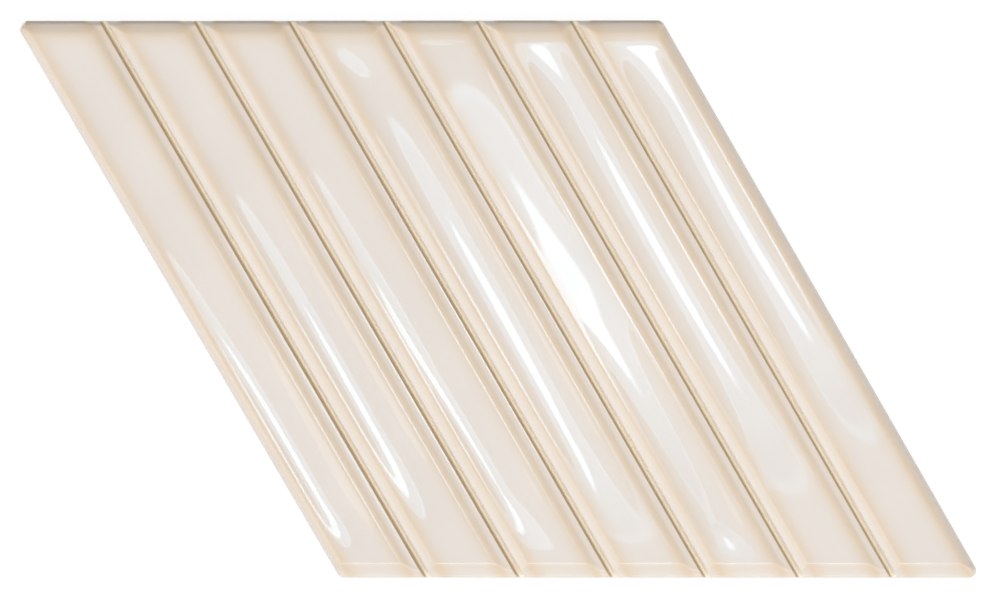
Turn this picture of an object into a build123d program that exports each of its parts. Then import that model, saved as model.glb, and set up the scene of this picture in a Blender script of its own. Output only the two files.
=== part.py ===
# Rhombic ceramic wall tile with seven raised, dished bars and six grout grooves between them.
# The tile lies on its keyed back: Z = 0 is the adhesive plane, the glazed face looks up.
# X runs along the short ends of the bars, and the bars lean across it at the rhombus angle.
# All sizes are millimetres and degrees.
from build123d import *
from math import radians, sin, tan
import os

# Rhombus outline, measured at the rims of the glazed face before they are rounded
side_length = 139.0
rhombus_angle = 60.0
thickness = 9.0
edge_draft = 6.0
back_chamfer = 0.6
tip_radius = 1.6
obtuse_radius = 3.0

# Bars and the grooves between them
bar_count = 7
groove_width = 1.75
groove_depth = 1.9
groove_draft = 14.0
groove_floor_radius = 0.3

# Bevel round every bar, from its rim up to its crest. The rim is full round the outside of
# the tile and keener at the lip of a groove.
bevel_width = 2.8
bevel_height = 0.75
rim_radius = 1.2
lip_radius = 0.3
crest_radius = 2.0

# Shallow hollow inside each crest. The ramps that close its ends start a little below its floor,
# so that they cross it at an angle.
dish_land = 0.3
dish_depth = 0.3
dish_ramp_length = 12.0
dish_ramp_sink = 0.06

# Keying on the back: a raised border and a lattice of ribs round shallow pockets
key_rows = 6
key_border = 6.0
key_rib = 2.6
key_depth = 0.6
key_draft = 20.0
key_corner_radius = 1.2

# Sizes that follow from the ones above
lean = radians(rhombus_angle)
tile_height = side_length * sin(lean)
half_height = tile_height / 2
bar_width = (tile_height - (bar_count - 1) * groove_width) / bar_count
bar_pitch = bar_width + groove_width
rim_height = thickness - bevel_height
floor_height = thickness - groove_depth
back_inset = rim_height * tan(radians(edge_draft))
floor_width = groove_width - 2 * (rim_height - floor_height) * tan(radians(groove_draft))

# Looking along the bars: the sketch's X runs square across them and its Y is up
across_bars = Plane(origin=(0, 0, 0), x_dir=(sin(lean), sin(lean) / tan(lean), 0), z_dir=(1, -tan(lean), 0))
# Looking along the short ends: the sketch's X runs from end to end of the bars and its Y is up
along_ends = Plane(origin=(0, 0, 0), x_dir=(0, 1, 0), z_dir=(1, 0, 0))


def leaning_corners(width, height):
    """Corners of a parallelogram: its width is square across the bars, its height between level ends."""
    half_run = width / sin(lean) / 2
    drift = height / tan(lean) / 2
    return [
        (-half_run - drift, height / 2),
        (-half_run + drift, -height / 2),
        (half_run + drift, -height / 2),
        (half_run - drift, height / 2),
    ]


def blank_profile():
    """Section of the pressed blank: drafted edges, rims, bevels and the level between the crests."""
    return Polygon(
        (-half_height + back_inset, 0),
        (half_height - back_inset, 0),
        (half_height, rim_height),
        (half_height - bevel_width, thickness),
        (-half_height + bevel_width, thickness),
        (-half_height, rim_height),
        align=None,
    )


def groove_profile():
    """Section of one groove: floor, drafted walls, and the bevels of the two bars beside it."""
    clearance = 1.0
    mouth = groove_width / 2 + bevel_width + clearance * bevel_width / bevel_height
    return Polygon(
        (-floor_width / 2, floor_height),
        (floor_width / 2, floor_height),
        (groove_width / 2, rim_height),
        (mouth, thickness + clearance),
        (-mouth, thickness + clearance),
        (-groove_width / 2, rim_height),
        align=None,
        mode=Mode.SUBTRACT,
    )


def corners_at(profile, level):
    """Corners of a section that lie at one height."""
    return profile.vertices().filter_by_position(Axis.Y, level - 0.01, level + 0.01)


def soften(profile):
    """Round the outer rims and the crests of a section and break the back edges."""
    rims = corners_at(profile, rim_height).sort_by(Axis.X)
    fillet((rims[0], rims[-1]), rim_radius)
    fillet(corners_at(profile, thickness), crest_radius)
    chamfer(corners_at(profile, 0), back_chamfer)


# Section from one end of the bars to the other
with BuildSketch(along_ends) as ends:
    blank_profile()
    soften(ends)

# The hollow of one bar: a shallow trough along the bar, closed by a curved ramp at each end
dish_width = bar_width - 2 * (bevel_width + dish_land)
dish_reach = half_height - bevel_width - dish_land
ramp_foot = dish_reach - dish_ramp_length
dish_floor = thickness - dish_depth
ramp_floor = dish_floor - dish_ramp_sink
with BuildPart() as dish:
    with BuildSketch(across_bars):
        with BuildLine():
            ThreePointArc((-dish_width / 2, thickness), (0, dish_floor), (dish_width / 2, thickness))
            Polyline(
                (dish_width / 2, thickness),
                (dish_width / 2, thickness + dish_depth),
                (-dish_width / 2, thickness + dish_depth),
                (-dish_width / 2, thickness),
            )
        make_face()
    extrude(amount=side_length, both=True)
    with BuildSketch(along_ends):
        with BuildLine():
            TangentArc((ramp_foot, ramp_floor), (dish_reach, thickness), tangent=(1, 0))
            TangentArc((-ramp_foot, ramp_floor), (-dish_reach, thickness), tangent=(-1, 0))
            Line((-ramp_foot, ramp_floor), (ramp_foot, ramp_floor))
            Polyline(
                (dish_reach, thickness),
                (dish_reach, thickness + dish_depth),
                (-dish_reach, thickness + dish_depth),
                (-dish_reach, thickness),
            )
        make_face()
    extrude(amount=side_length, both=True, mode=Mode.INTERSECT)

# Places of the pockets in the back, in rows that lean with the bars
key_span = tile_height - 2 * back_inset - 2 * key_border
key_pitch = (key_span + key_rib) / key_rows
key_cell = key_pitch - key_rib
key_steps = [(row - (key_rows - 1) / 2) * key_pitch for row in range(key_rows)]
key_places = [(across / sin(lean) - up / tan(lean), up) for across in key_steps for up in key_steps]

with BuildPart() as tile:
    # Section across the bars, drawn out along them
    with BuildSketch(across_bars) as relief:
        blank_profile()
        with GridLocations(bar_pitch, 0, bar_count - 1, 1):
            groove_profile()
        fillet(corners_at(relief, floor_height), groove_floor_radius)
        fillet(corners_at(relief, rim_height).sort_by(Axis.X)[1:-1], lip_radius)
        soften(relief)
    extrude(amount=side_length, both=True)

    # Drafted and bevelled ends, which mitre with the sides of every bar: what lies outside their
    # section is cut away
    with BuildSketch(along_ends):
        Rectangle(4 * side_length, 4 * thickness)
        add(ends.sketch_local, mode=Mode.SUBTRACT)
    extrude(amount=side_length, both=True, mode=Mode.SUBTRACT)

    # Rounded corners of the rhombus
    with BuildSketch() as outline:
        Polygon(*leaning_corners(tile_height, tile_height), align=None)
        from_left = outline.vertices().sort_by(Axis.X)
        fillet((from_left[0], from_left[-1]), tip_radius)
        fillet(outline.vertices().group_by(Axis.X)[2:-2], obtuse_radius)
    extrude(amount=thickness, mode=Mode.INTERSECT)

    # The hollow in the top of every bar
    with GridLocations(bar_pitch / sin(lean), 0, bar_count, 1):
        add(dish.part, mode=Mode.SUBTRACT)

    # Pockets that key the back into the adhesive
    with BuildSketch() as pockets:
        with Locations(*key_places):
            Polygon(*leaning_corners(key_cell, key_cell), align=None)
        fillet(pockets.vertices(), key_corner_radius)
    extrude(amount=key_depth, taper=key_draft, mode=Mode.SUBTRACT)

tile.part.label = "tile"
os.makedirs("parts", exist_ok=True)
export_step(tile.part, "parts/tile.step")
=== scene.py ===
import math

import bpy
import numpy as np
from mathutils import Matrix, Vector


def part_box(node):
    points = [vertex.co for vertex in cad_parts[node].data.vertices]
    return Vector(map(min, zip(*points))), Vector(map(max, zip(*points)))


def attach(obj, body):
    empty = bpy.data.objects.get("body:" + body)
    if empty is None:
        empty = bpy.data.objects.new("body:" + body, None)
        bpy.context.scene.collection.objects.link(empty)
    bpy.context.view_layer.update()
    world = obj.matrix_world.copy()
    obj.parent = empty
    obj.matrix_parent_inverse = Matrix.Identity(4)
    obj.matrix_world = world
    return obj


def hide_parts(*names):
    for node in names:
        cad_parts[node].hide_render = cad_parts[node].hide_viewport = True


mm = 0.001

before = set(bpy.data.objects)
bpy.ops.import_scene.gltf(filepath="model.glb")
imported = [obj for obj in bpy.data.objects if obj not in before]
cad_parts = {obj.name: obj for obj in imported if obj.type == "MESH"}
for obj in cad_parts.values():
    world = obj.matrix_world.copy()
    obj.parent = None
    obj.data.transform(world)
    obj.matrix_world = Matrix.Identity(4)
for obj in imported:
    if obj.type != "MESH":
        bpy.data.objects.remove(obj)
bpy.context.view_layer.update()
low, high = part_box("tile")
print("frame loaded")


# Small helpers

def rgb(hexColour):
    # sRGB hex to the linear colour that shaders want
    channels = [int(hexColour[i:i + 2], 16) / 255 for i in (1, 3, 5)]
    return [c / 12.92 if c <= 0.04045 else ((c + 0.055) / 1.055) ** 2.4 for c in channels] + [1.0]


def addNode(tree, kind, settings=None, links=None, values=None):
    # settings are the node's properties, links feed its inputs, and values are numbers or colours for them
    node = tree.nodes.new(kind)
    for key, value in (settings or {}).items():
        setattr(node, key, value)
    for key, socket in (links or {}).items():
        tree.links.new(socket, node.inputs[key])
    for key, value in (values or {}).items():
        node.inputs[key].default_value = value
    return node


def newMaterial(name):
    material = bpy.data.materials.new(name)
    material.use_nodes = True
    material.node_tree.nodes.clear()
    return material, material.node_tree


def softMin(a, b, blend):
    # the smaller of two numbers, rounded over where they cross
    share = np.clip(0.5 + 0.5 * (b - a) / blend, 0, 1)
    return b + (a - b) * share - blend * share * (1 - share)


def softMax(a, b, blend):
    return -softMin(-a, -b, blend)


def easeStep(value, start, stop):
    # 0 at start, 1 at stop, level at both
    t = np.clip((value - start) / (stop - start), 0, 1)
    return t * t * (3 - 2 * t)


def smoothThrough(values, share):
    # a smooth curve through values that stand at even steps, from share 0 to share 1
    values = np.array(values, float)
    slopes = np.gradient(values)
    place = np.clip(share, 0, 1) * (len(values) - 1)
    first = np.minimum(place.astype(int), len(values) - 2)
    t = place - first
    return (values[first] * (1 + 2 * t) * (1 - t) ** 2 + slopes[first] * t * (1 - t) ** 2
            + values[first + 1] * t * t * (3 - 2 * t) + slopes[first + 1] * t * t * (t - 1))


# Form of the tile, in millimetres and degrees
tileForm = {
    "angle": 60.0,                 # lean of the bars and of the two slanted sides
    "bars": 7,
    "grooveWidth": 1.75,
    "grooveDepth": 1.9,            # from crest to groove floor
    "grooveDraft": (14.0, 20.0),   # the left and the right wall of a groove lean this far out of upright
    "grooveBlends": (0.14, 0.32),  # rounding of its lips and of its floor
    "crest": 2.8,                  # run of the bevel round a bar, from rim to crest, as drawn
    "leftCrest": 2.45,             # the same on the left and on the right of a bar, as pressed
    "rightCrest": 2.8,
    "mitre": 0.12,                 # rounding where two bevels meet
    "hollow": 0.38,                # usual depth of the hollow in a bar
    "hollowTurn": (0.19, 0.3),     # share of its slope that turns down from the crest, and more at its ends
    "rimInset": 0.18,              # the face ends this far inside the widest outline
    "rimRun": 3.0,                 # and is drawn in over this much of its edge
    "tipRadius": 1.6,              # the two sharp corners of the rhombus
    "wideRadius": 1.8,             # the two wide ones
    "lipShift": 0.34,              # the left wall of a groove starts this far in from the rim of its bar
    "mouthSetback": 0.08,          # the ends of the tile stand back this far beside each groove.
    "mouthReach": (2.4, 3.8),      # That fades out between these distances from the groove's middle,
    "mouthRun": 6.0,               # and over this much of the length of the bars
    "tipCut": 2.8,                 # the facet at the top left tip cuts this much off the sharp corner
    "tipCutAngle": 144,            # the way it faces, turning left from X
    "tipCutSlant": 17,
    "sideDraft": 6.0,
    "backChamfer": 0.6,
}

# Climb of the bevel in degrees at each distance in mm from the rim. Beside a groove it starts as a flat
# foot, and round the outside of the tile it rolls over a fuller rim.
bevelClimb = {
    "groove": [(0.0, 7), (0.5, 9), (1.3, 22), (1.75, 14), (2.05, 10), (2.35, 11), (2.6, 7), (2.8, 0)],
    "side": [(0.0, 74), (0.3, 54), (0.7, 36), (1.2, 27), (1.75, 17), (2.05, 12), (2.35, 11), (2.6, 7),
             (2.8, 0)],
    "top": [(0.0, 74), (0.3, 54), (0.7, 30), (1.2, 22), (1.8, 15), (2.4, 10), (2.9, 6), (3.2, 2.5),
            (3.5, 1.2), (4.7, 1), (4.95, 0)],
    "bottom": [(0.0, 74), (0.3, 54), (0.7, 28), (1.2, 19), (2.0, 17), (2.8, 17), (3.35, 17), (3.5, 8),
               (3.65, 0)],
}

# No two bars are pressed alike. sunk is the depth of the hollow at even steps from the top end to the
# bottom end, as a share of the usual depth. middle is how far its lowest line lies right of the bar's
# middle at the same places, in mm. bowl is 1 where the hollow is evenly round and more where its floor
# is flatter. ends is where the hollow starts to close and where it is shut, in mm from the top end,
# where it shuts with a crisp line, and then from the bottom end, where it fades out.
barPress = [
    {"sunk": (0.70, 0.70, 0.70, 0.70, 0.70, 0.70, 0.72, 0.95, 1.16, 1.20, 1.20, 1.14, 1.05),
     "middle": (0.3, 0.3, 0.3, 0.3, 0.3, 0.3, 0.3, 0.3, 0.3, 0.3, 0.1, 0.0, 0.0),
     "bowl": 1.4, "ends": (16, 3.6, 16, 3)},
    {"sunk": (0.80, 0.80, 0.86, 0.94, 1.08, 1.24, 1.28, 1.24, 1.16, 1.08, 1.00, 0.90, 0.80),
     "middle": (0.6, 0.6, 0.6, 0.6, 0.6, 0.6, 0.5, 0.4, 0.2, 0.0, -0.2, -0.2, -0.2),
     "bowl": 1.4, "ends": (16, 3.6, 32, 7)},
    {"sunk": (0.70, 0.70, 0.72, 0.70, 0.66, 0.58, 0.44, 0.44, 0.60, 0.74, 0.78, 0.76, 0.70),
     "middle": (-1.0, -1.2, -1.3, -1.4, -1.4, -1.4, -1.4, -1.4, -1.4, -1.3, -1.2, -1.2, -1.2),
     "bowl": 1.4, "ends": (16, 3.6, 18, 5)},
    {"sunk": (0.95, 1.05, 1.12, 1.15, 1.15, 1.12, 1.10, 1.08, 1.00, 0.85, 0.70, 0.60, 0.50),
     "middle": (1.2, 1.3, 1.4, 1.4, 1.3, 1.1, 0.9, 0.5, 0.1, -0.4, -0.9, -1.2, -1.2),
     "bowl": 1.4, "ends": (13, 5.4, 32, 7)},
    {"sunk": (0.34, 0.26, 0.28, 0.36, 0.38, 0.28, 0.22, 0.46, 0.65, 0.75, 0.80, 0.85, 0.85),
     "middle": (-0.2, -0.3, -0.4, -0.6, -0.6, -0.2, -0.2, -0.3, -0.3, -0.3, -0.6, -1.4, -1.6),
     "bowl": 1.0, "ends": (5.3, 4.3, 12, 3)},
    {"sunk": (1.00, 0.96, 0.90, 0.88, 0.88, 0.88, 0.88, 0.80, 0.62, 0.36, 0.19, 0.14, 0.14),
     "middle": (1.4, 1.0, 0.6, 0.3, 0.1, -0.1, -0.2, -0.2, -0.1, 0.0, 0.2, 0.2, 0.2),
     "bowl": 1.0, "ends": (17, 4.9, 14, 3)},
    {"sunk": (1.00, 1.00, 1.06, 1.02, 0.98, 0.92, 0.78, 0.58, 0.42, 0.34, 0.30, 0.30, 0.30),
     "middle": (2.4, 1.7, 1.0, 0.3, -0.2, -0.3, -0.4, -0.6, -0.6, -0.2, 0.0, 0.0, 0.0),
     "bowl": 1.4, "ends": (19, 5.4, 14, 3)},
]

# How thin the glaze has run, from 0 to 1, at each distance in mm from a rim of a bar. The number before
# each table is how much that rim counts.
glazeThin = {
    "left": (0.95, [(0, 0.15), (0.9, 0.15), (1.5, 0.5), (2.1, 0.8), (2.6, 0.78), (3.2, 0.55), (4.0, 0.3),
                    (5.0, 0.06), (6.0, 0)]),
    "right": (0.85, [(0, 0.4), (0.4, 0.4), (0.9, 0.35), (1.2, 0.6), (1.7, 1.0), (2.2, 1.0), (3.0, 0.6),
                     (4.0, 0.25), (5.5, 0)]),
    "top": (0.9, [(0, 0.3), (0.8, 0.25), (1.4, 0.5), (2.2, 0.8), (3.2, 0.6), (4.2, 0.35), (5.5, 0.1),
                  (7.0, 0)]),
    "bottom": (0.8, [(0, 0.0), (1.0, 0.05), (1.8, 0.2), (2.3, 0.3), (2.9, 0.15), (4.0, 0.05), (5.0, 0)]),
}

# Where the glaze changes, and where shade is painted into it, each from one distance to another in mm
glazeLines = {
    "grooveStart": (0.1, 0.35), "grooveStop": (-0.1, 0.0),    # from the bar left of a groove, and right of it
    "footShadeStart": (0.12, 0.3), "footShadeStop": (0.5, 1.05),        # painted shade at the foot of a groove's left wall, where its shadow falls
    "topRimShade": (0.2, 0.5), "topRimShadeShare": 0.8,                 # painted shade along the rim of the top end, which faces away from the light, and how dark
    "tipFacetShade": (0.0, 0.3),                                   # depth of the cut at the tip over which its facet's painted shade grows
}

angle = math.radians(tileForm["angle"])
halfTile = (high.y - low.y) / mm / 2
topZ = high.z / mm
bars = tileForm["bars"]
grooveWidth = tileForm["grooveWidth"]
barWidth = (2 * halfTile - (bars - 1) * grooveWidth) / bars
barPitch = barWidth + grooveWidth
crest = tileForm["crest"]


def tableAt(table, distance):
    # value of a table of distances and values, straight between its rows
    return np.interp(distance, [d for d, _ in table], [v for _, v in table])


def bevelDrop(distance, side):
    # how far the bevel lies below the crest at a distance in from the rim, summed from its climb
    climb = bevelClimb[side]
    step = 0.02
    run = np.arange(0, climb[-1][0] + step, step)
    slopes = np.tan(np.radians(tableAt(climb, run)))
    heights = np.concatenate([[0], np.cumsum((slopes[1:] + slopes[:-1]) / 2 * step)])
    return heights[-1] - np.interp(distance, run, heights)


def hollowShare(reach, turn, bowl):
    # 0 at the crest (reach 0), 1 on the lowest line (reach 1). It turns downwards over the first share
    reach = np.clip(reach, 0, 1)
    slope = (1 - turn) / (bowl + 1)
    beyond = turn / 2 + slope * (1 - np.clip((1 - reach) / (1 - turn), 0, 1) ** (bowl + 1))
    return np.where(reach < turn, reach * reach / (2 * turn), beyond) / (turn / 2 + slope)


def barPlaces(across):
    # which bar each line of the grid lies on, and how far it is from that bar's left rim
    local = np.clip(across + halfTile, 0, 2 * halfTile - 1e-6)
    bar = np.minimum((local / barPitch).astype(int), bars - 1)
    return local, bar, local - bar * barPitch


def hollowHeights(bar, offset, up):
    # depth of the seven hollows over the grid
    share = (halfTile - up) / (2 * halfTile)
    fromEnd = halfTile - np.abs(up)
    depth = np.zeros((len(up), len(offset)))
    leftReach = barWidth / 2 - tileForm["leftCrest"]
    rightReach = barWidth / 2 - tileForm["rightCrest"]
    for number, press in enumerate(barPress):
        lines = bar == number
        x = (offset[lines] - barWidth / 2)[None, :]
        middle = smoothThrough(press["middle"], share)[:, None]
        topStart, topShut, bottomStart, bottomShut = press["ends"]
        opened = np.clip((fromEnd - topShut) / (topStart - topShut), 0, 1)
        closing = np.where(up > 0, opened * (2 - opened), easeStep(fromEnd, bottomShut, bottomStart))
        sunk = (smoothThrough(press["sunk"], share) * closing)[:, None]
        fromLeft, fromRight = (x + leftReach) / (middle + leftReach), (rightReach - x) / (rightReach - middle)
        reach = np.where(x < middle, fromLeft, fromRight)
        crestTurn, closingTurn = tileForm["hollowTurn"]
        turn = crestTurn + closingTurn * (1 - closing[:, None])
        depth[:, lines] = tileForm["hollow"] * sunk * hollowShare(reach, turn, press["bowl"])
    return depth


def faceHeights(across, up):
    # height of the glazed face over a grid: across is square to the bars, up runs from end to end
    local, bar, offset = barPlaces(across)
    fromLeft = offset * crest / tileForm["leftCrest"]
    fromRight = (barWidth - offset) * crest / tileForm["rightCrest"]
    nearest = np.minimum(fromLeft, fromRight)
    outer = ((bar == 0) & (fromLeft < fromRight)) | ((bar == bars - 1) & (fromRight < fromLeft))
    sideDrop = np.where(outer, bevelDrop(nearest, "side"), bevelDrop(nearest, "groove"))
    endDrop = np.where(up > 0, bevelDrop(halfTile - up, "top"), bevelDrop(halfTile + up, "bottom"))
    mitre = tileForm["mitre"]
    drop = softMax(sideDrop[None, :], endDrop[:, None], mitre) - mitre / 4
    heights = topZ - np.maximum(drop, 0) - hollowHeights(bar, offset, up)

    # grooves: a floor, and walls that lean out to the rims
    halfGroove = (grooveWidth - tileForm["lipShift"]) / 2
    fromGroove = (local + halfGroove + barPitch / 2) % barPitch - barPitch / 2
    between = (local > barWidth / 2) & (local < 2 * halfTile - barWidth / 2)
    leftDraft, rightDraft = tileForm["grooveDraft"]
    lean = np.tan(np.radians(np.where(fromGroove < 0, leftDraft, rightDraft)))
    wall = topZ - bevelDrop(0, "groove") - (halfGroove - np.abs(fromGroove)) / lean
    wall = np.where(between, wall, topZ + 5)[None, :]   # out of the way at the two sides of the tile
    lipBlend, floorBlend = tileForm["grooveBlends"]
    return softMax(softMin(heights, wall, lipBlend), topZ - tileForm["grooveDepth"], floorBlend)


def mouthShare(across):
    # 1 beside a groove, 0 along the raised stretch of a bar's end
    _, bar, offset = barPlaces(across)
    far = tileForm["mouthReach"][1]     # where there is no groove on that side
    toRight = np.where(bar < bars - 1, np.abs(barWidth + grooveWidth / 2 - offset), far)
    toLeft = np.where(bar > 0, offset + grooveWidth / 2, far)
    return 1 - easeStep(np.minimum(toLeft, toRight), *tileForm["mouthReach"])


def glazeKept(side, distance):
    # what the run of glaze off one rim leaves of its thickness
    strength, table = glazeThin[side]
    return 1 - strength * tableAt(table, distance)


def glazeShares(across, up):
    # how thin the glaze is, how far a point lies in a groove, and how much painted shade it carries: at the
    # foot of a groove's left wall, where shade falls, or along the rim at the top end of a bar, which faces
    # away from the light. All run from 0 to 1
    _, _, offset = barPlaces(across)
    fromTop, fromBottom = halfTile - up, halfTile + up
    kept = glazeKept("left", offset) * glazeKept("right", barWidth - offset)
    ends = glazeKept("top", fromTop) * glazeKept("bottom", fromBottom)
    thin = 1 - kept[None, :] * ends[:, None]
    fromBar = offset - barWidth
    inGroove = easeStep(fromBar, *glazeLines["grooveStart"])
    inGroove = inGroove * (1 - easeStep(fromBar - grooveWidth, *glazeLines["grooveStop"]))
    # painted shade: along the foot of each groove's left wall, and along the top end's rim beside the raised
    # stretch of each bar
    footShade = easeStep(fromBar, *glazeLines["footShadeStart"]) * (1 - easeStep(fromBar, *glazeLines["footShadeStop"]))
    rim = glazeLines["topRimShadeShare"] * (1 - mouthShare(across))
    rim = rim[None, :] * (1 - easeStep(fromTop, *glazeLines["topRimShade"]))[:, None]
    return thin, np.tile(inGroove, (len(up), 1)), np.maximum(footShade[None, :], rim)


# Mesh of the tile

meshDensity = {
    # across the bars: each run ends at a distance in mm from the rim and has even steps, and from the
    # last one the steps grow
    "sideRuns": ((1.9, 0.19), (3.2, 0.09)), "hollowStep": 0.55,
    "grooveSteps": 11,
    # along them
    "endRuns": ((2.3, 0.2), (4.1, 0.12)), "lengthStep": 2.0,
    "growth": 1.22,
}


def gradedSteps(length, runs, coarse):
    # distances from 0 to length: even steps over each run, then growing to coarse ones
    steps = [0.0]
    for stop, step in runs:
        while steps[-1] + step / 2 < stop:
            steps.append(steps[-1] + step)
    while steps[-1] + step < length:
        step = min(step * meshDensity["growth"], coarse)
        steps.append(steps[-1] + step)
    return np.array(steps) * length / steps[-1]


def gridLines():
    # grid lines across the bars and along them, closest together at the rims and crests
    half = gradedSteps(barWidth / 2, meshDensity["sideRuns"], meshDensity["hollowStep"])
    barSteps = np.concatenate([half, barWidth - half[-2::-1]])
    grooveSteps = np.linspace(0, grooveWidth, meshDensity["grooveSteps"] + 1)[1:-1]
    pieces = []
    for number in range(bars):
        pieces.append(number * barPitch + barSteps)
        if number < bars - 1:
            pieces.append(number * barPitch + barWidth + grooveSteps)
    half = gradedSteps(halfTile, meshDensity["endRuns"], meshDensity["lengthStep"])
    return np.concatenate(pieces) - halfTile, np.concatenate([half, 2 * halfTile - half[-2::-1]]) - halfTile


def roundCorners(x, y, size=1.0):
    # draws the four corners of the rhombus in to their radii and keeps every line of the mesh in order
    side = 2 * halfTile / math.sin(angle)
    drift = halfTile / math.tan(angle)
    tip, wide = (tileForm["tipRadius"], angle), (tileForm["wideRadius"], math.pi - angle)
    for sx, sy, (radius, inner) in ((-1, 1, tip), (1, -1, tip), (1, 1, wide), (-1, -1, wide)):
        corner = np.array([sx * side / 2 - sy * drift, sy * halfTile]) * size
        inward = -corner / np.linalg.norm(corner)
        middle = corner + inward * radius / math.sin(inner / 2)
        dx, dy = x - middle[0], y - middle[1]
        turn = np.abs(np.arctan2(inward[1] * dx - inward[0] * dy, -inward[0] * dx - inward[1] * dy))
        spread = (math.pi - inner) / 2
        shrink = np.where(turn < spread, np.cos(np.clip(spread - turn, 0, spread)), 1.0)
        x, y = middle[0] + dx * shrink, middle[1] + dy * shrink
    return x, y


def leaning(acrossLines, upLines):
    # grid coordinates to the frame's X and Y
    return acrossLines / math.sin(angle) - upLines / math.tan(angle), upLines


def setBack(x, y, amount):
    # moves points near the two ends of the tile towards its middle, along the bars
    pull = np.sign(y) * amount * easeStep(np.abs(y), halfTile - tileForm["mouthRun"], halfTile)
    return x + pull / math.tan(angle), y - pull


def cutTip(x, y, z):
    # the top left tip is cut off by a small slanting facet. Returns how much each point moved too
    facing = math.radians(tileForm["tipCutAngle"])
    outX, outY = math.cos(facing), math.sin(facing)
    cornerX = -halfTile / math.sin(angle) - halfTile / math.tan(angle)
    reach = (x - cornerX) * outX + (y - halfTile) * outY + tileForm["tipCut"]
    over = np.maximum(reach - (topZ - z) * math.tan(math.radians(tileForm["tipCutSlant"])), 0)
    return x - over * outX, y - over * outY, over


def gridLoop(across, up):
    # the outermost points of a grid, turning left as seen from above, and how far round each one lies
    index = np.arange(len(up) * len(across)).reshape(len(up), len(across))
    u = (across - across[0]) / (across[-1] - across[0])
    v = (up - up[0]) / (up[-1] - up[0])
    loop = np.concatenate([index[0, :-1], index[:-1, -1], index[-1, :0:-1], index[:0:-1, 0]])
    walk = np.concatenate([u[:-1], 1 + v[:-1], 3 - u[:0:-1], 4 - v[:0:-1]])
    return loop, walk


def gridQuads(rows, cols):
    # faces of a grid of points, seen from above
    index = np.arange(rows * cols).reshape(rows, cols)
    return np.stack([index[:-1, :-1], index[:-1, 1:], index[1:, 1:], index[1:, :-1]], -1).reshape(-1, 4)


class MeshParts:
    # gathers the points and faces of one closed mesh, with what the glaze does at each point and the shade
    # painted there
    def __init__(self):
        self.points, self.thin, self.groove, self.dark = [], [], [], []
        self.faces, self.materials = [], []
        self.count = 0

    def addPoints(self, x, y, z, thin=0.0, groove=0.0, dark=0.0):
        arrays = np.broadcast_arrays(x, y, z, thin, groove, dark)
        x, y, z, thin, groove, dark = (np.ravel(part) for part in arrays)
        self.points.append(np.stack([x, y, z], 1))
        self.thin.append(thin)
        self.groove.append(groove)
        self.dark.append(dark)
        first = self.count
        self.count += len(x)
        return first

    def addFaces(self, faces, material):
        self.faces.extend(np.asarray(faces).tolist())
        self.materials.extend([material] * len(faces))


glazeSlot, claySlot = 0, 1
parts = MeshParts()

# Face
across, up = gridLines()
heights = faceHeights(across, up)
rows, cols = heights.shape
rimInset, rimStart = tileForm["rimInset"], halfTile - tileForm["rimRun"]
drawIn = rimInset * easeStep(np.abs(across), rimStart, halfTile) * np.sign(across)
drawUp = rimInset * easeStep(np.abs(up), rimStart, halfTile) * np.sign(up)
gx, gy = leaning(np.tile(across - drawIn, (rows, 1)), np.tile((up - drawUp)[:, None], (1, cols)))
gx, gy = roundCorners(gx, gy, (halfTile - rimInset) / halfTile)
setbacks = np.tile(tileForm["mouthSetback"] * mouthShare(across), (rows, 1))
gx, gy = setBack(gx, gy, setbacks)
gx, gy, tipOver = cutTip(gx, gy, heights)
thin, inGroove, dark = glazeShares(across, up)
# painted shade on the facet at the top left tip, which faces away from the light
dark = np.maximum(dark, easeStep(tipOver, *glazeLines["tipFacetShade"]))
parts.addPoints(gx, gy, heights, thin, inGroove, dark)
parts.addFaces(gridQuads(rows, cols), glazeSlot)
print("glazed face", rows, "x", cols)

# Side of the tile, ring by ring from the rim down. The glaze runs over the rim and ends in a lip that
# wanders along the pressed clay.
sideForm = {
    "shoulder": 0.5,          # the drafted side starts this far below the rim, in mm
    "rimRing": (0.3, -0.05),  # a ring this far above the shoulder, and how far it stands out
    "glazeEnd": 5.4,          # usual height at which the glaze ends
    "wander": 0.45,           # how far up and down the end of the glaze goes
    # waves of that wander: how many go round the tile, where each starts and its share
    "waves": ((2, 0.10, 0.35), (5, 0.62, 0.30), (11, 0.27, 0.20), (23, 0.80, 0.10), (41, 0.45, 0.05)),
    "lip": 0.06,              # the glaze's last roll stands out this far,
    "lipRings": (0.35, 0.1),  # between these heights above its end
    "thin": 0.7,              # how thin the glaze is on the sides
    "clayRings": (4.4, 3.3, 2.1, 1.2),
    "chamferRun": 0.6,        # run of the back chamfer as a share of its height
    "leastGap": 0.05,         # rings never come closer than this
}

loop, walk = gridLoop(across, up)
acrossAll, upAll = np.meshgrid(across, up)
ringX, ringY = roundCorners(*leaning(acrossAll.ravel()[loop], upAll.ravel()[loop]))
ringSetback = setbacks.ravel()[loop]
draft = math.tan(math.radians(tileForm["sideDraft"]))
shoulder = topZ - bevelDrop(0, "side") - sideForm["shoulder"]
wander = sum(np.sin(2 * math.pi * (walk * turns / 4 + phase)) * share
             for turns, phase, share in sideForm["waves"])
glazeEnd = sideForm["glazeEnd"] + sideForm["wander"] * wander
chamfer = tileForm["backChamfer"]
chamferRun = sideForm["chamferRun"] * chamfer
rimUp, rimOut = sideForm["rimRing"]
lipTop, lipMiddle = sideForm["lipRings"]
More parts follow.
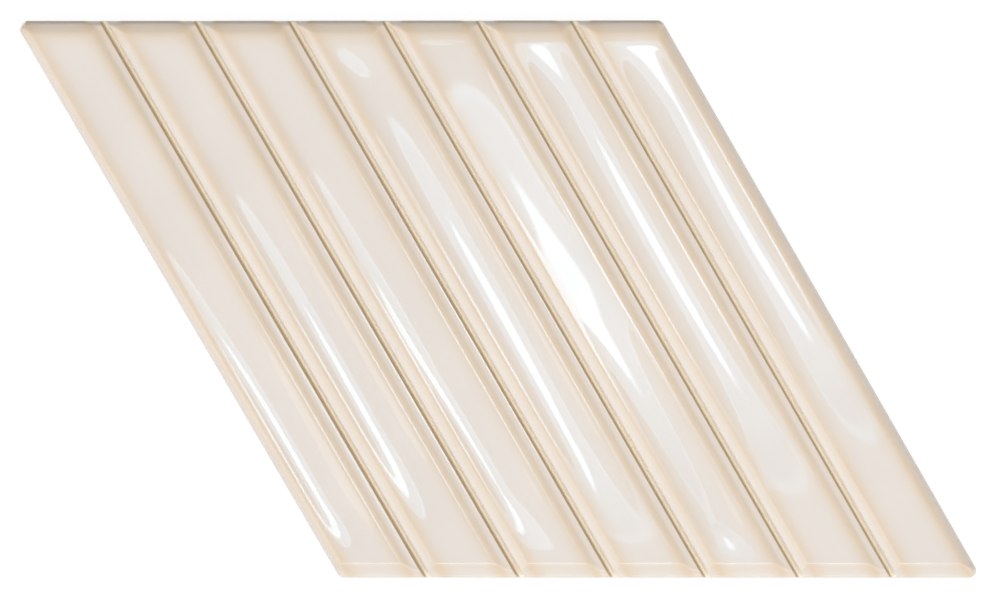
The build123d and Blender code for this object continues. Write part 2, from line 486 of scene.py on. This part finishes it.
# height, how far it stands out from the drafted side, and what covers the clay above it
rings = [(shoulder + rimUp, rimOut, glazeSlot), (shoulder, 0, glazeSlot), (glazeEnd + lipTop, 0, glazeSlot),
         (glazeEnd + lipMiddle, sideForm["lip"], glazeSlot), (glazeEnd, 0, glazeSlot)]
rings += [(z, 0, claySlot) for z in sideForm["clayRings"] + (chamfer,)]
rings += [(0.0, -chamferRun, claySlot)]
previous, previousZ = loop, heights.ravel()[loop]
following = np.roll(np.arange(len(loop)), -1)
for z, stand, slot in rings:
    z = np.maximum(np.minimum(z, previousZ - sideForm["leastGap"]), 0)
    inset = np.maximum((shoulder - np.maximum(z, chamfer)) * draft, 0) - stand
    scale = (halfTile - inset) / halfTile
    x, y = setBack(ringX * scale, ringY * scale, np.maximum(ringSetback - inset, 0))
    x, y, _ = cutTip(x, y, z)
    ring = parts.addPoints(x, y, z, sideForm["thin"]) + np.arange(len(loop))
    parts.addFaces(np.stack([previous, ring, ring[following], previous[following]], 1), slot)
    previous, previousZ = ring, z
print("side rings", len(rings))

# Back: a plain border, then rows of shallow pockets that key it into the adhesive
backForm = {
    "rows": 6, "border": 6.0, "rib": 2.6, "depth": 0.6, "wall": 0.3, "cornerRadius": 1.2,
    "edgeRound": 0.05,        # rounding of the pockets' edges
    # grid lines near each side of a pocket: outside it, then inside
    "wallLines": (-0.35, -0.12, 0.12, 0.35, 0.65, 1.2, 2.0),
    "outerLine": 2.0,         # the last grid line lies this far outside the pockets
}


def backLines(span):
    # grid lines over one side of the back: close together where the pocket walls are
    pitch = (span + backForm["rib"]) / backForm["rows"]
    cell = pitch - backForm["rib"]
    near = np.array(backForm["wallLines"])
    edge = span / 2 + backForm["outerLine"]
    lines = []
    for number in range(backForm["rows"]):
        start = number * pitch - span / 2
        lines += [start + near, [start + cell / 2], (start + cell - near)[::-1]]
    return np.concatenate([[-edge], *lines, [edge]]), pitch, cell


def pocketDepth(lines, pitch, cell, span):
    # depth of the pockets over the grid, from the rounded outline of each
    along = (lines + span / 2) % pitch - cell / 2
    reach = np.abs(np.where(np.abs(lines) > span / 2 + 0.01, cell, along))
    radius = backForm["cornerRadius"]
    a, b = reach[None, :] - cell / 2 + radius, reach[:, None] - cell / 2 + radius
    outside = np.hypot(np.maximum(a, 0), np.maximum(b, 0)) + np.minimum(np.maximum(a, b), 0) - radius
    edgeRound = backForm["edgeRound"]
    return backForm["depth"] * easeStep(outside, edgeRound, -edgeRound - backForm["wall"])


backInset = (shoulder - chamfer) * draft + chamferRun
backSpan = 2 * (halfTile - backInset - backForm["border"])
lines, pitch, cell = backLines(backSpan)
bx, by = leaning(*np.meshgrid(lines, lines))
first = parts.addPoints(bx, by, pocketDepth(lines, pitch, cell, backSpan))
parts.addFaces(gridQuads(len(lines), len(lines))[:, ::-1] + first, claySlot)

# border between the last ring of the side and the pockets, closed like a zip
inner, innerWalk = gridLoop(lines, lines)
inner = inner + first
i = j = 0
border = []
while i < len(previous) or j < len(inner):
    outerNext = walk[i + 1] if i + 1 < len(walk) else 4.0 + (i >= len(walk))
    innerNext = innerWalk[j + 1] if j + 1 < len(innerWalk) else 4.0 + (j >= len(innerWalk))
    if outerNext <= innerNext:
        border.append((previous[(i + 1) % len(previous)], previous[i % len(previous)], inner[j % len(inner)]))
        i += 1
    else:
        border.append((inner[j % len(inner)], inner[(j + 1) % len(inner)], previous[i % len(previous)]))
        j += 1
parts.addFaces(np.array(border), claySlot)
print("back", len(lines), "x", len(lines))

mesh = bpy.data.meshes.new("glazedTile")
boxMiddle = np.array([(low.x + high.x) / 2, (low.y + high.y) / 2, 0])
mesh.from_pydata((np.concatenate(parts.points) * mm + boxMiddle).tolist(), [], parts.faces)
mesh.polygons.foreach_set("use_smooth", [True] * len(mesh.polygons))
mesh.polygons.foreach_set("material_index", parts.materials)
for name, values in (("thinGlaze", parts.thin), ("grooveShare", parts.groove), ("paintedShade", parts.dark)):
    layer = mesh.attributes.new(name, "FLOAT", "POINT")
    layer.data.foreach_set("value", np.concatenate(values).astype(np.float32))
mesh.update()
tile = bpy.data.objects.new("glazedTile", mesh)
bpy.context.scene.collection.objects.link(tile)
print("tile mesh", len(mesh.polygons), "faces", sum(len(f) - 2 for f in parts.faces), "triangles")


# Glaze: an opaque cream glaze, poured and fired glossy. It is thick and cool white in the hollows,
# thins to warm beige where it ran off the crests and rims, and is thin and dull over the groove floors.
# The glaze colour also carries painted shade: darker at the foot of each groove's left wall, along the rim of
# the top end and on the facet at the top left tip
glazeLook = {
    "thick": "#E9DFD5", "thin": "#E4CCAF", "groove": "#FDF1DC", "paintedShade": "#BFA584",
    "ior": 1.52, "roughness": 0.035, "grooveRoughness": 0.5,
    "cloudSize": 24,          # mm, slow drift of the glaze's colour
    "cloudTint": (0.985, 1.015),
    "streakSize": 3.5,        # mm, uneven edge of the thin runs
    "streakTint": (0.88, 1.08),
    "rippleSize": 2.6,        # mm, the faint orange peel of a fired glaze
    "rippleHeight": 0.002,
}

glaze, tree = newMaterial("cream gloss glaze")
place = addNode(tree, "ShaderNodeTexCoord").outputs["Object"]
thinNode = addNode(tree, "ShaderNodeAttribute", {"attribute_name": "thinGlaze"})
grooveNode = addNode(tree, "ShaderNodeAttribute", {"attribute_name": "grooveShare"})
paintedShadeNode = addNode(tree, "ShaderNodeAttribute", {"attribute_name": "paintedShade"})
clouds = addNode(tree, "ShaderNodeTexNoise", links={"Vector": place}, values={
    "Scale": 1 / (glazeLook["cloudSize"] * mm), "Detail": 3.0, "Roughness": 0.5})
streaks = addNode(tree, "ShaderNodeTexNoise", links={"Vector": place}, values={
    "Scale": 1 / (glazeLook["streakSize"] * mm), "Detail": 2.0, "Roughness": 0.6})
uneven = addNode(tree, "ShaderNodeMapRange", links={"Value": streaks.outputs["Fac"]}, values={
    "From Min": 0.3, "From Max": 0.7,
    "To Min": glazeLook["streakTint"][0], "To Max": glazeLook["streakTint"][1]})
thinShare = addNode(tree, "ShaderNodeMath", {"operation": "MULTIPLY", "use_clamp": True}, {
    0: thinNode.outputs["Fac"], 1: uneven.outputs["Result"]})
warmed = addNode(tree, "ShaderNodeMix", {"data_type": "RGBA"}, {0: thinShare.outputs[0]}, {
    6: rgb(glazeLook["thick"]), 7: rgb(glazeLook["thin"])})
grooved = addNode(tree, "ShaderNodeMix", {"data_type": "RGBA"}, {
    0: grooveNode.outputs["Fac"], 6: warmed.outputs[2]}, {7: rgb(glazeLook["groove"])})
# painted shade: the colour is darkened where shade falls, at groove wall feet, the top rim and the tip facet
shaded = addNode(tree, "ShaderNodeMix", {"data_type": "RGBA"}, {
    0: paintedShadeNode.outputs["Fac"], 6: grooved.outputs[2]}, {7: rgb(glazeLook["paintedShade"])})
cloudTint = addNode(tree, "ShaderNodeMapRange", links={"Value": clouds.outputs["Fac"]}, values={
    "From Min": 0.3, "From Max": 0.7,
    "To Min": glazeLook["cloudTint"][0], "To Max": glazeLook["cloudTint"][1]})
clouded = addNode(tree, "ShaderNodeVectorMath", {"operation": "SCALE"}, {
    0: shaded.outputs[2], "Scale": cloudTint.outputs["Result"]})
dull = addNode(tree, "ShaderNodeMapRange", links={"Value": grooveNode.outputs["Fac"]}, values={
    "To Min": glazeLook["roughness"], "To Max": glazeLook["grooveRoughness"]})
ripple = addNode(tree, "ShaderNodeTexNoise", links={"Vector": place}, values={
    "Scale": 1 / (glazeLook["rippleSize"] * mm), "Detail": 1.5, "Roughness": 0.5})
surface = addNode(tree, "ShaderNodeBump", links={"Height": ripple.outputs["Fac"]}, values={
    "Strength": 1.0, "Distance": glazeLook["rippleHeight"] * mm})
shader = addNode(tree, "ShaderNodeBsdfPrincipled", links={
    "Base Color": clouded.outputs[0], "Roughness": dull.outputs["Result"], "Normal": surface.outputs[0]},
    values={"IOR": glazeLook["ior"]})
addNode(tree, "ShaderNodeOutputMaterial", links={"Surface": shader.outputs[0]})

# Biscuit: fired clay with no glaze, matt and a little gritty, warmer and darker than the face
biscuitLook = {
    "base": "#D8C4A4", "dark": "#C5AC88", "roughness": 0.85, "ior": 1.5,
    "mottleSize": 5,          # mm, patches of clay that fired darker
    "gritSize": 0.5, "gritHeight": 0.08,
}

biscuit, tree = newMaterial("fired clay biscuit")
place = addNode(tree, "ShaderNodeTexCoord").outputs["Object"]
mottle = addNode(tree, "ShaderNodeTexNoise", links={"Vector": place}, values={
    "Scale": 1 / (biscuitLook["mottleSize"] * mm), "Detail": 4.0, "Roughness": 0.6})
grit = addNode(tree, "ShaderNodeTexNoise", links={"Vector": place}, values={
    "Scale": 1 / (biscuitLook["gritSize"] * mm), "Detail": 2.0, "Roughness": 0.7})
share = addNode(tree, "ShaderNodeMapRange", links={"Value": mottle.outputs["Fac"]}, values={
    "From Min": 0.35, "From Max": 0.7})
colour = addNode(tree, "ShaderNodeMix", {"data_type": "RGBA"}, {0: share.outputs["Result"]}, {
    6: rgb(biscuitLook["base"]), 7: rgb(biscuitLook["dark"])})
surface = addNode(tree, "ShaderNodeBump", links={"Height": grit.outputs["Fac"]}, values={
    "Strength": 0.6, "Distance": biscuitLook["gritHeight"] * mm})
shader = addNode(tree, "ShaderNodeBsdfPrincipled", links={
    "Base Color": colour.outputs[2], "Normal": surface.outputs[0]}, values={
        "Roughness": biscuitLook["roughness"], "IOR": biscuitLook["ior"]})
addNode(tree, "ShaderNodeOutputMaterial", links={"Surface": shader.outputs[0]})

mesh.materials.append(glaze)
mesh.materials.append(biscuit)
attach(tile, "root")
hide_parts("tile")
print("glaze and biscuit")

# Camera: a long lens almost square above the tile, a little towards its top edge
cameraSetup = {"place": (0.00443, 0.04378, 0.7), "tilt": (-3.6, 0.36, -0.04), "lens": 116.1, "sensor": 36}

cameraData = bpy.data.cameras.new("camera")
cameraData.lens = cameraSetup["lens"]
cameraData.sensor_width = cameraSetup["sensor"]
camera = bpy.data.objects.new("camera", cameraData)
camera.location = cameraSetup["place"]
camera.rotation_euler = [math.radians(a) for a in cameraSetup["tilt"]]
bpy.context.scene.collection.objects.link(camera)
bpy.context.scene.camera = camera

# Floor: a white sweep. The camera and the gloss see it white with the tile's soft shadow on it, and
# other light meets plain white paint
floorSetup = {"reach": 3, "white": 0.95, "shadow": 0.08, "paint": 0.8}

r = floorSetup["reach"]
floorMesh = bpy.data.meshes.new("floor")
floorMesh.from_pydata([(-r, -r, 0), (r, -r, 0), (r, r, 0), (-r, r, 0)], [], [(0, 1, 2, 3)])
floor = bpy.data.objects.new("floor", floorMesh)
bpy.context.scene.collection.objects.link(floor)
sweep, tree = newMaterial("white sweep")
lit = addNode(tree, "ShaderNodeBsdfDiffuse", values={"Color": (*[floorSetup["shadow"]] * 3, 1)})
glow = addNode(tree, "ShaderNodeEmission", values={"Color": (1, 1, 1, 1), "Strength": floorSetup["white"]})
seen = addNode(tree, "ShaderNodeAddShader", links={0: glow.outputs[0], 1: lit.outputs[0]})
plain = addNode(tree, "ShaderNodeBsdfDiffuse", values={"Color": (*[floorSetup["paint"]] * 3, 1)})
ray = addNode(tree, "ShaderNodeLightPath")
looked = addNode(tree, "ShaderNodeMath", {"operation": "MAXIMUM"}, {
    0: ray.outputs["Is Camera Ray"], 1: ray.outputs["Is Glossy Ray"]})
choice = addNode(tree, "ShaderNodeMixShader", links={
    0: looked.outputs[0], 1: plain.outputs[0], 2: seen.outputs[0]})
addNode(tree, "ShaderNodeOutputMaterial", links={"Surface": choice.outputs[0]})
floorMesh.materials.append(sweep)
print("camera and floor")

# Lights: a white room that is brightest overhead and falls away towards its sides, most beyond the top
# edge of the tile; a softbox and a narrow strip beyond the bottom edge; and overhead a round softbox
# with a hot middle, which the hollows mirror. radiance is how bright a thing looks, where 1 is white
# paper.
lights = {
    # where the room's light starts to fall, where it has fallen, and what is left, by direction along Y
    "room": 1.375, "towardsTop": (-0.02, 0.42, 0.1), "towardsBottom": (-0.3, -0.75, 0.35),
    "key": {"size": (2.6, 0.6), "place": (0.0, -0.6, 1.2), "radiance": 1.02},
    "strip": {"size": (0.36, 0.09), "place": (0.065, -0.47, 1.1), "radiance": 4.5},
    # Places and sizes of the round softbox run across the bars, and along them towards the bottom
    # right. squareness is 2 for an ellipse, and more for squarer corners. faded is where its glow
    # starts to fade towards the top left, where it has faded, and what is left.
    "panel": {"height": 1.04, "place": (0.038, 0.080), "size": (0.24, 0.275), "radiance": (2.2, 3.05, 3.85),
              "squareness": 2.6, "rim": 0.35, "rimShare": 0.05, "faded": (0.12, 0.20, 0.55), "points": 96},
    "core": {"place": (0.038, 0.072), "size": (0.098, 0.145), "radiance": (3.6, 4.7, 5.6),
             "soft": (0.82, 1.06)},
}

world = bpy.data.worlds.new("studio")
world.use_nodes = True
tree = world.node_tree
coordinates = addNode(tree, "ShaderNodeTexCoord")
direction = addNode(tree, "ShaderNodeSeparateXYZ", links={0: coordinates.outputs["Generated"]})
falls = []
for start, stop, left in (lights["towardsTop"], lights["towardsBottom"]):
    fall = addNode(tree, "ShaderNodeMapRange", {"interpolation_type": "SMOOTHSTEP"}, {
        "Value": direction.outputs[1]}, {"From Min": start, "From Max": stop, "To Min": 1, "To Max": left})
    falls.append(fall.outputs["Result"])
both = addNode(tree, "ShaderNodeMath", {"operation": "MULTIPLY"}, {0: falls[0], 1: falls[1]})
level = addNode(tree, "ShaderNodeMath", {"operation": "MULTIPLY"}, {0: both.outputs[0]}, {1: lights["room"]})
tree.nodes["Background"].inputs["Color"].default_value = (1, 1, 1, 1)
tree.links.new(level.outputs[0], tree.nodes["Background"].inputs["Strength"])
bpy.context.scene.world = world


def addSoftbox(name, setup):
    width, height = setup["size"]
    light = bpy.data.lights.new(name, "AREA")
    light.shape = "RECTANGLE"
    light.size, light.size_y = width, height
    light.energy = setup["radiance"] * math.pi * width * height
    lamp = bpy.data.objects.new(name, light)
    lamp.location = setup["place"]
    lamp.rotation_euler = Vector(setup["place"]).to_track_quat("Z", "Y").to_euler()
    bpy.context.scene.collection.objects.link(lamp)


addSoftbox("key softbox", lights["key"])
addSoftbox("strip light", lights["strip"])

panel, core = lights["panel"], lights["core"]
outline = []
for number in range(panel["points"]):
    turn = number / panel["points"] * 2 * math.pi
    c, s = math.cos(turn), math.sin(turn)
    power = 2 / panel["squareness"]
    outline.append((math.copysign(abs(c) ** power, c) * panel["size"][0] / 2,
                    -math.copysign(abs(s) ** power, s) * panel["size"][1] / 2, 0))
panelMesh = bpy.data.meshes.new("round softbox")
panelMesh.from_pydata(outline, [], [tuple(range(panel["points"]))])
softbox = bpy.data.objects.new("round softbox", panelMesh)
a, b = panel["place"]
softbox.location = (a * math.sin(angle) + b * math.cos(angle),
                    a * math.cos(angle) - b * math.sin(angle), panel["height"])
softbox.rotation_euler = (0, 0, math.pi / 2 - angle)
bpy.context.scene.collection.objects.link(softbox)

# glow of the round softbox: even, a little brighter at its rim, and hot in the middle
glowing, tree = newMaterial("softbox glow")
place = addNode(tree, "ShaderNodeTexCoord").outputs["Object"]


def glowReach(centre, size, power):
    # distance from a centre as a share of the half size, in squarer rings for a power above 2
    moved = addNode(tree, "ShaderNodeVectorMath", {"operation": "SUBTRACT"}, {0: place}, {1: (*centre, 0)})
    scaled = addNode(tree, "ShaderNodeVectorMath", {"operation": "DIVIDE"}, {0: moved.outputs[0]}, {
        1: (size[0] / 2, size[1] / 2, 1)})
    positive = addNode(tree, "ShaderNodeVectorMath", {"operation": "ABSOLUTE"}, {0: scaled.outputs[0]})
    split = addNode(tree, "ShaderNodeSeparateXYZ", links={0: positive.outputs[0]})
    raised = [addNode(tree, "ShaderNodeMath", {"operation": "POWER"}, {0: split.outputs[i]}, {1: power})
              for i in (0, 1)]
    total = addNode(tree, "ShaderNodeMath", {"operation": "ADD"}, {
        0: raised[0].outputs[0], 1: raised[1].outputs[0]})
    root = addNode(tree, "ShaderNodeMath", {"operation": "POWER"}, {0: total.outputs[0]}, {1: 1 / power})
    return root.outputs[0]


coreAt = (core["place"][0] - panel["place"][0], panel["place"][1] - core["place"][1])
panelReach = glowReach((0, 0), panel["size"], panel["squareness"])
coreReach = glowReach(coreAt, core["size"], 2)
rimGlow = addNode(tree, "ShaderNodeMapRange", {"interpolation_type": "SMOOTHSTEP"}, {"Value": panelReach}, {
    "From Min": 1 - 2 * panel["rimShare"], "From Max": 1 - panel["rimShare"],
    "To Min": 0, "To Max": panel["rim"]})
coreGlow = addNode(tree, "ShaderNodeMapRange", {"interpolation_type": "SMOOTHSTEP"}, {"Value": coreReach}, {
    "From Min": core["soft"][0], "From Max": core["soft"][1], "To Min": 1, "To Max": 0})
fadeStart, fadeStop, fadeLeft = panel["faded"]
alongPanel = addNode(tree, "ShaderNodeSeparateXYZ", links={0: place}).outputs[1]
fade = addNode(tree, "ShaderNodeMapRange", {"interpolation_type": "SMOOTHSTEP"}, {"Value": alongPanel}, {
    "From Min": panel["place"][1] - fadeStart, "From Max": panel["place"][1] - fadeStop,
    "To Min": 1, "To Max": fadeLeft})
evenGlow = addNode(tree, "ShaderNodeMath", {"operation": "ADD"}, {
    0: rimGlow.outputs["Result"], 1: fade.outputs["Result"]})
even = addNode(tree, "ShaderNodeEmission", links={"Strength": evenGlow.outputs[0]}, values={
    "Color": (*panel["radiance"], 1)})
hot = addNode(tree, "ShaderNodeEmission", links={"Strength": coreGlow.outputs["Result"]}, values={
    "Color": (*core["radiance"], 1)})
both = addNode(tree, "ShaderNodeAddShader", links={0: even.outputs[0], 1: hot.outputs[0]})
addNode(tree, "ShaderNodeOutputMaterial", links={"Surface": both.outputs[0]})
panelMesh.materials.append(glowing)
print("lights")

bpy.context.scene.view_settings.view_transform = "Standard"
